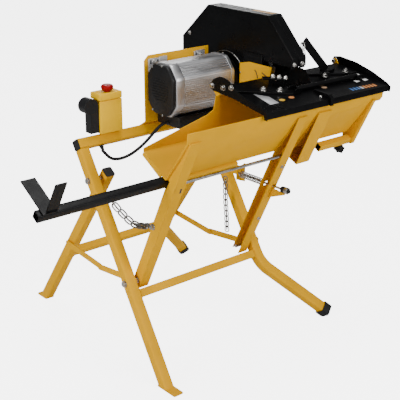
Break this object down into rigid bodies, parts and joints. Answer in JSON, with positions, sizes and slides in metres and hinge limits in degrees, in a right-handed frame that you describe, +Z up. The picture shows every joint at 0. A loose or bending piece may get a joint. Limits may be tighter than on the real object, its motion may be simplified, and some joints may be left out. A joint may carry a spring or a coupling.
{
  "type": "rocking log saw",
  "caption": "Folding electric log saw: a tilting V trough with a hold-down cover rocks logs onto a circular blade in a fixed guard beside its motor.",
  "frame": {"origin": "on the ground under the middle of the whole saw", "axes": "+X along the log and the blade's axis, +Y from the operator to the blade, +Z up"},
  "size_m": [1.1966, 0.891, 1.0185],
  "materials": {
    "yellow_frame": "satin powder coat, orange yellow",
    "yellow_rocker": "satin powder coat, orange yellow",
    "black_paint": "semi-gloss black paint",
    "zinc": "bright zinc plate",
    "aluminium": "bare extruded and cast aluminium",
    "blade_steel": "ground steel",
    "black_plastic": "moulded plastic",
    "rubber": "moulded rubber",
    "switch_yellow": "moulded signal yellow plastic",
    "stop_red": "moulded red plastic"
  },
  "bodies": {
    "stand": {"leg_front_left": "yellow_frame", "leg_front_right": "yellow_frame", "foot_cap_front_right": "rubber", "top_bar": "yellow_frame", "top_bar_cap_left": "black_plastic", "front_crossbar": "yellow_frame", "fold_bolt_left": "zinc", "fold_bolt_right": "zinc", "rocker_bolt_left": "zinc", "rocker_bolt_right": "zinc", "spring_tab": "yellow_frame", "motor_plate": "yellow_frame", "motor_housing": "aluminium", "motor_end_shield": "aluminium", "motor_front_shield": "aluminium", "fan_cover": "black_plastic", "capacitor_box": "black_plastic", "guard_shell_left": "black_paint", "guard_shell_right": "black_paint", "guard_side_plate": "yellow_frame", "switch_box": "switch_yellow", "plug_inlet": "black_plastic", "motor_cable": "rubber", "cable_gland_motor": "black_plastic", "cable_gland_bar": "black_plastic"},
    "rear_frame": {"leg_rear_left": "yellow_frame", "leg_rear_right": "yellow_frame", "foot_cap_rear_right": "rubber", "rear_leg_cap_left": "black_plastic", "rear_crossbar": "yellow_frame"},
    "front_stays": {"stay_front_left": "yellow_frame", "stay_front_right": "yellow_frame"},
    "rear_stays": {"stay_rear_left": "yellow_frame", "stay_rear_right": "yellow_frame"},
    "rocker": {"rocker_leg_left": "yellow_rocker", "rocker_leg_right": "yellow_rocker", "trough": "yellow_rocker", "blade_pocket": "yellow_rocker", "end_rib": "yellow_rocker", "tie_rod": "zinc", "extension_socket": "yellow_rocker", "stop_guide": "yellow_rocker", "spring_rod": "zinc", "return_spring": "zinc"},
    "extension": {"extension_arm": "black_paint", "extension_fork": "black_paint"},
    "length_stop": {"stop_bar": "black_paint"},
    "knob": {"clamp_knob": "black_plastic"},
    "cover": {"cover_plate": "black_paint", "cover_cheek_left": "black_paint", "cover_cheek_right": "black_paint", "cover_bar_left": "black_paint", "cover_bar_right": "black_paint", "push_rod": "black_paint", "cover_strap": "black_paint"},
    "arbor": {"motor_shaft": "blade_steel", "saw_blade": "blade_steel", "arbor_nut": "zinc"},
    "stop_flap": {"stop_flap": "switch_yellow"},
    "stop_button": {"stop_button": "stop_red"}
  },
  "joints": [
    {"name": "rocker_tilt", "type": "hinge", "parent": "stand", "child": "rocker", "pos_m": [-0.23285, -0.16633, 0.278], "axis": [-1, 0, 0], "range_deg": [0, 11], "deforming": ["return_spring"]},
    {"name": "frame_fold", "type": "hinge", "parent": "stand", "child": "rear_frame", "pos_m": [-0.23285, 0.00748, 0.5554], "axis": [-1, 0, 0], "range_deg": [0, 50]},
    {"name": "stay_front_fold", "type": "hinge", "parent": "stand", "child": "front_stays", "pos_m": [-0.23285, -0.16633, 0.278], "axis": [1, 0, 0], "range_deg": [0, 47]},
    {"name": "stay_rear_fold", "type": "hinge", "parent": "front_stays", "child": "rear_stays", "pos_m": [-0.23285, 0.02178, 0.2573], "axis": [-1, 0, 0], "range_deg": [0, 159]},
    {"name": "arm_extension", "type": "slide", "parent": "rocker", "child": "extension", "axis": [-1, 0, 0], "range_m": [-0.24, 0.06]},
    {"name": "stop_bar_slide", "type": "slide", "parent": "rocker", "child": "length_stop", "axis": [1, 0, 0], "range_m": [0, 0.1]},
    {"name": "knob_turn", "type": "hinge", "parent": "rocker", "child": "knob", "pos_m": [0.52415, -0.32952, 0.616], "axis": [0, 0.5132, -0.8583], "continuous": true},
    {"name": "cover_lift", "type": "hinge", "parent": "rocker", "child": "cover", "pos_m": [-0.23285, -0.21102, 0.842], "axis": [1, 0, 0], "range_deg": [-50, 0]},
    {"name": "blade_spin", "type": "hinge", "parent": "stand", "child": "arbor", "pos_m": [-0.23285, -0.01852, 0.798], "axis": [1, 0, 0], "continuous": true},
    {"name": "stop_flap_open", "type": "hinge", "parent": "stand", "child": "stop_flap", "pos_m": [-0.12085, 0.08498, 0.7865], "axis": [-1, 0, 0], "range_deg": [0, 80]},
    {"name": "stop_button_press", "type": "slide", "parent": "stop_flap", "child": "stop_button", "axis": [0, 0, -1], "range_m": [0, 0.004], "stiffness_N_per_m": 400}
  ],
  "couplings": [
    {"joint": "stay_front_fold", "follows": "frame_fold", "ratio": 0.936},
    {"joint": "stay_rear_fold", "follows": "frame_fold", "ratio": 3.174}
  ]
}
